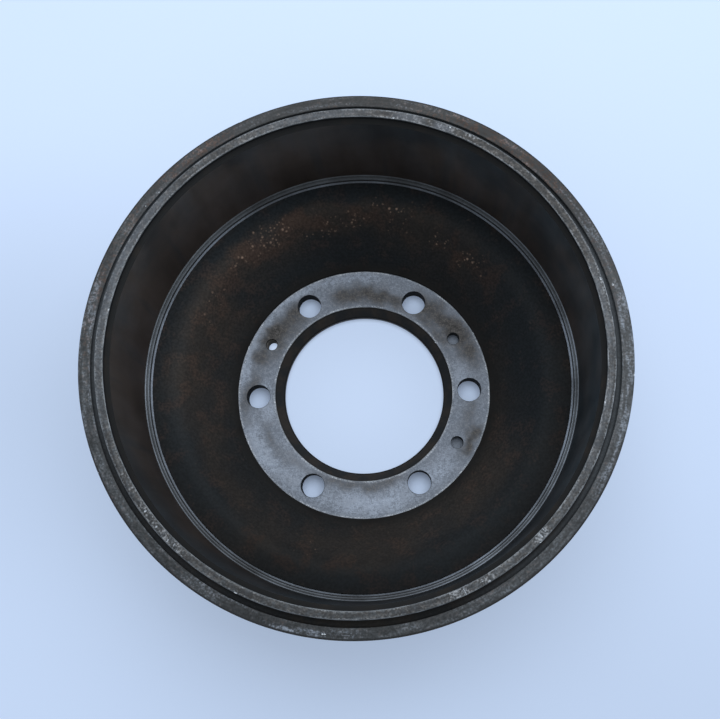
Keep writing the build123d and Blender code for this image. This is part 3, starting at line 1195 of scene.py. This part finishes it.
KNOCKS = (  # where the lip and flange were knocked: angle and radius, size around and across, depth
    (79.3, 138.2, 1.8, 1.0, 0.35),
    (66.0, 141.2, 1.6, 1.3, 0.4),
    (15.6, 141.3, 2.2, 1.2, 0.35),
    (-12.8, 137.9, 2.2, 1.0, 0.45),
    (-44.9, 138.6, 0.9, 3.2, 0.5),
    (-46.2, 139.4, 1.0, 3.4, 0.45),
    (-47.2, 141.8, 1.8, 1.2, 0.4),
    (-61.0, 141.5, 1.4, 1.2, 0.4),
    (-62.3, 139.4, 1.0, 1.6, 0.3),
    (-66.7, 139.8, 0.9, 5.4, 0.5),
    (215.7, 139.8, 1.3, 2.0, 0.45),
    (219.9, 140.4, 1.2, 1.8, 0.35),
    (223.9, 140.9, 1.1, 2.0, 0.4),
    (225.6, 139.8, 1.0, 2.2, 0.35),
    (227.0, 141.6, 1.5, 1.3, 0.4),
    (242.6, 142.2, 2.4, 1.2, 0.6),
    (167.3, 137.9, 2.0, 1.0, 0.35),
)
FLANGE_KNOCKS = (
    (14.2, 148.4, 1.8, 1.4, 0.35),
    (-5.5, 153.4, 2.6, 1.2, 0.6),
    (137.4, 147.3, 0.9, 0.8, 0.25),
    (141.6, 148.0, 0.8, 0.7, 0.25),
    (113.7, 153.5, 3.0, 1.2, 0.6),
    (116.0, 153.6, 2.2, 1.0, 0.5),
    (203.0, 153.5, 2.8, 1.1, 0.5),
    (262.5, 150.6, 3.0, 0.9, 0.25),
)
HUB_KNOCKS = (
    (160.5, 58.9, 1.8, 1.2, 0.5),
    (34.2, 58.8, 2.2, 1.4, 0.6),
    (27.5, 83.2, 3.0, 0.9, 0.4),
    (155.7, 83.1, 3.6, 0.8, 0.35),
    (163.0, 82.0, 4.0, 0.5, 0.2),
)


def knock(angle, radius, height, around, across, depth):
    """A blunt tool that stands half sunk in a turned face."""
    deselect_everything()
    turn = radians(angle)
    bpy.ops.mesh.primitive_uv_sphere_add(
        segments=14,
        ring_count=8,
        radius=1.0,
        location=(radius * cos(turn), radius * sin(turn), height),
        rotation=(radians(8) * cos(7 * turn), radians(8) * sin(5 * turn), turn),
    )
    tool = bpy.context.object
    tool.name = "knock"
    tool.scale = (across / 2, around / 2, depth)
    bpy.ops.object.transform_apply(location=True, rotation=True, scale=True)
    return tool


def knock_tools(section):
    """The tools that leave the marks of use on the lip, the flange and the hub face."""
    tools = []
    for places, height in (
        (KNOCKS, section["lip_inner"][1]),
        (FLANGE_KNOCKS, section["flange_inner"][1]),
        (HUB_KNOCKS, section["hub_face_rim"][1]),
    ):
        for angle, *lengths in places:
            radius, around, across, depth = (length * MM for length in lengths)
            tools.append(knock(angle, radius, height, around, across, depth))
    return tools


def coated(tools, finish):
    """The same tools, with the finish that they leave on the cut."""
    for tool in tools:
        tool.data.materials.append(finish)
    return tools


def cut(piece, cutters):
    """Take the cutters' shape out of the piece, and remove them. They may not touch one another."""
    make_active(cutters[0])
    for cutter in cutters[1:]:
        cutter.select_set(True)
    if len(cutters) > 1:
        bpy.ops.object.join()
    cutter = bpy.context.object
    make_active(piece)
    boolean = piece.modifiers.new("cut", "BOOLEAN")
    boolean.operation = "DIFFERENCE"
    boolean.solver = "EXACT"
    boolean.material_mode = "TRANSFER"
    boolean.object = cutter
    bpy.ops.object.modifier_apply(modifier=boolean.name)
    bpy.data.objects.remove(cutter)


def hole_drills(sizes):
    """Drills for the six stud holes and for the core of the tapped hole."""
    studs = mounts["wheel_studs"]["dims"]
    past = -1 * MM
    drills = []
    for stud in range(studs["count"]):
        angle = 2 * pi * stud / studs["count"]
        drills.append(
            drill("stud_drill", studs["hole_r_mm"] * MM, angle, past, sizes.hub_wall, sizes.hole_chamfer)
        )
    core, angle = mount_radius("jack_thread"), mount_angle("jack_thread")
    drills.append(drill("core_drill", core, angle, past, sizes.hub_wall, sizes.thread_chamfer))
    return drills


def blind_drills(sizes):
    """Drills for the two blind holes, which stop at their floor."""
    return [
        drill(
            name, mount_radius(name), mount_angle(name), BLIND_FLOOR, sizes.hub_wall, sizes.hole_chamfer
        )
        for name in BLIND_HOLES
    ]


def thread_tap(sizes):
    """The tap for the jacking hole, long enough to come out on both sides."""
    teeth = ceil((sizes.hub_wall + 6 * MM) / sizes.thread_pitch)
    return tap(
        "tap",
        mount_radius("jack_thread"),
        sizes.thread_depth,
        sizes.thread_pitch,
        mount_angle("jack_thread"),
        -3 * MM,
        teeth,
    )


class BRAKEDRUM_OT_drum(bpy.types.Operator):
    """Model the drum: one iron casting, turned, drilled, tapped and worn"""

    bl_idname = "brakedrum.drum"
    bl_label = "Drum"

    def execute(self, context):
        sizes, colours = context.scene.drum_sizes, context.scene.drum_colours
        section = half_section(sizes)
        names, corners = list(section), list(section.values())
        makers = {maker.__name__: maker for maker in (cast_skin, *FINISHES.values(), worn_edge)}
        finishes = {name: maker(colours) for name, maker in makers.items()}
        drum = turn_casting("drum", corners, sizes.segments)
        give_finishes(drum, section, finishes)
        for place, name in enumerate(names):
            if name in ROUNDS:
                after = corners[(place + 1) % len(corners)]
                turn = turn_between(corners[place - 1], corners[place], after)
                slot = list(finishes).index("worn_edge") if name in WORN_EDGES else -1
                round_corner(drum, corners[place], turn, ROUNDS[name], slot)
        for lowest, highest, cuts in SKIN_RINGS:
            divide_band(drum, section[lowest], section[highest], cuts)
        roughen_skin(drum, section)
        tools = coated(hole_drills(sizes), drilled_hole(colours))
        tools += coated(blind_drills(sizes), blind_hole(colours))
        tools += coated(knock_tools(section), fresh_nick(colours))
        cut(drum, tools)  # all at once, while the casting is closed, so that every run gives the same mesh
        cut(drum, coated([thread_tap(sizes)], tapped_hole(colours)))
        make_active(drum)
        bpy.ops.object.shade_smooth_by_angle(angle=radians(32))
        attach(drum, "root")
        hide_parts("brake_drum")
        return {"FINISHED"}


TAPPED_HOLE = (*mounts["jack_thread"]["pos_m"][:2], 0.0)
FLOOR_SHADE = (  # painted shade and light on the floor: place and reach, and what they add
    ((-0.24, 0.03, 0.0), 0.19, -0.11),
    ((0.22, -0.24, 0.0), 0.22, -0.07),
    ((0.0, 0.0, 0.0), 0.07, 0.05),
)


def pale_floor(colours):
    """Pale matt floor, glowing a little for the camera so that it stays pale in the shadow, with painted
    light and shade in places.
    """
    floor = Finish("pale_floor")
    depth = floor.add("ShaderNodeSeparateXYZ", floor.place).outputs["Y"]
    # painted light and shade: the floor lighter towards +Y and darker towards -Y, and in soft spots
    shade = floor.between(floor.ramp(depth, -0.12, 0.28), 0.94, 1.03)
    for place, reach, added in FLOOR_SHADE:
        shade = floor.calc("MULTIPLY_ADD", floor.within(place, reach), added, shade)
    pale = floor.scaled(colours.floor, shade)
    floor.surface(pale, 0.85, specular=0.2)
    paths = floor.add("ShaderNodeLightPath")
    seen = floor.calc("MAXIMUM", paths.outputs["Is Camera Ray"], paths.outputs["Is Glossy Ray"])
    glow = floor.add("ShaderNodeEmission", pale, 1.0)
    # painted shade: the floor glows less under the hub face; painted light: it glows more through the tapped
    # hole
    shade_under_hub = floor.near(floor.radius, 70 * MM, 18 * MM)
    shade_under_hub = floor.calc("SUBTRACT", shade_under_hub, floor.calc("MULTIPLY", floor.within(TAPPED_HOLE, 8 * MM), 2.6))
    mixed = floor.add("ShaderNodeMixShader", floor.calc("MULTIPLY", seen, floor.between(shade_under_hub, 0.4, 0.12)))
    floor.feed(mixed.inputs[1], floor.shader.outputs[0])
    floor.feed(mixed.inputs[2], glow.outputs[0])
    floor.feed(floor.tree.nodes["Material Output"].inputs["Surface"], mixed.outputs[0])
    return floor.material


SKY_COLOUR = (0.88, 0.94, 1.0, 1.0)
SKY_STRENGTH = 0.62
WINDOW_PLACE = (0.2, 0.6, 1.15)
WINDOW_SIZE = (1.5, 1.2)
WINDOW_WATTS = 12.5
CAMERA_PLACE = (0.027248, -0.116098, 0.556676)
CAMERA_TURN = (6.8808, 1.3168, -1.6611)  # degrees
CAMERA_LENS = 42.132
CAMERA_SHIFT = (-0.0429, 0.1489)


class BRAKEDRUM_OT_stage(bpy.types.Operator):
    """Set the floor, the lamps and the camera"""

    bl_idname = "brakedrum.stage"
    bl_label = "Floor, lamps and camera"

    def execute(self, context):
        colours = context.scene.drum_colours
        deselect_everything()
        bpy.ops.mesh.primitive_plane_add(size=4.0, location=(0, 0, 0))
        floor = context.object
        floor.name = "floor"
        floor.data.materials.append(pale_floor(colours))
        world = bpy.data.worlds.new("soft_sky")
        context.scene.world = world
        world.use_nodes = True
        sky = world.node_tree.nodes["Background"]
        sky.inputs["Color"].default_value = SKY_COLOUR
        sky.inputs["Strength"].default_value = SKY_STRENGTH
        bpy.ops.object.light_add(type="AREA", location=WINDOW_PLACE)
        lamp = context.object
        lamp.name = "window"
        lamp.rotation_euler = (-lamp.location).to_track_quat("-Z", "Y").to_euler()
        lamp.data.shape = "RECTANGLE"
        lamp.data.size, lamp.data.size_y = WINDOW_SIZE
        lamp.data.energy = WINDOW_WATTS
        lamp.data.color = (0.94, 0.97, 1.0)
        bpy.ops.object.camera_add(location=CAMERA_PLACE)
        camera = context.object
        camera.rotation_euler = tuple(radians(angle) for angle in CAMERA_TURN)
        camera.data.lens = CAMERA_LENS
        camera.data.shift_x, camera.data.shift_y = CAMERA_SHIFT
        context.scene.camera = camera
        context.scene.view_settings.view_transform = "Standard"
        return {"FINISHED"}


class BRAKEDRUM_PT_panel(bpy.types.Panel):
    bl_label = "Brake Drum"
    bl_idname = "BRAKEDRUM_PT_panel"
    bl_space_type = "VIEW_3D"
    bl_region_type = "UI"
    bl_category = "Brake Drum"

    def draw(self, context):
        for group in (context.scene.drum_sizes, context.scene.drum_colours):
            for name in group.bl_rna.properties.keys():
                if name not in ("rna_type", "name"):
                    self.layout.prop(group, name)
        for operator in (BRAKEDRUM_OT_drum, BRAKEDRUM_OT_stage):
            self.layout.operator(operator.bl_idname)


classes = (DrumSizes, DrumColours, BRAKEDRUM_OT_drum, BRAKEDRUM_OT_stage, BRAKEDRUM_PT_panel)


def register():
    for cls in classes:
        bpy.utils.register_class(cls)
    bpy.types.Scene.drum_sizes = bpy.props.PointerProperty(type=DrumSizes)
    bpy.types.Scene.drum_colours = bpy.props.PointerProperty(type=DrumColours)


def unregister():
    del bpy.types.Scene.drum_colours
    del bpy.types.Scene.drum_sizes
    for cls in reversed(classes):
        bpy.utils.unregister_class(cls)


def main():
    register()
    bpy.ops.brakedrum.drum()
    bpy.ops.brakedrum.stage()


if __name__ == "__main__":
    main()
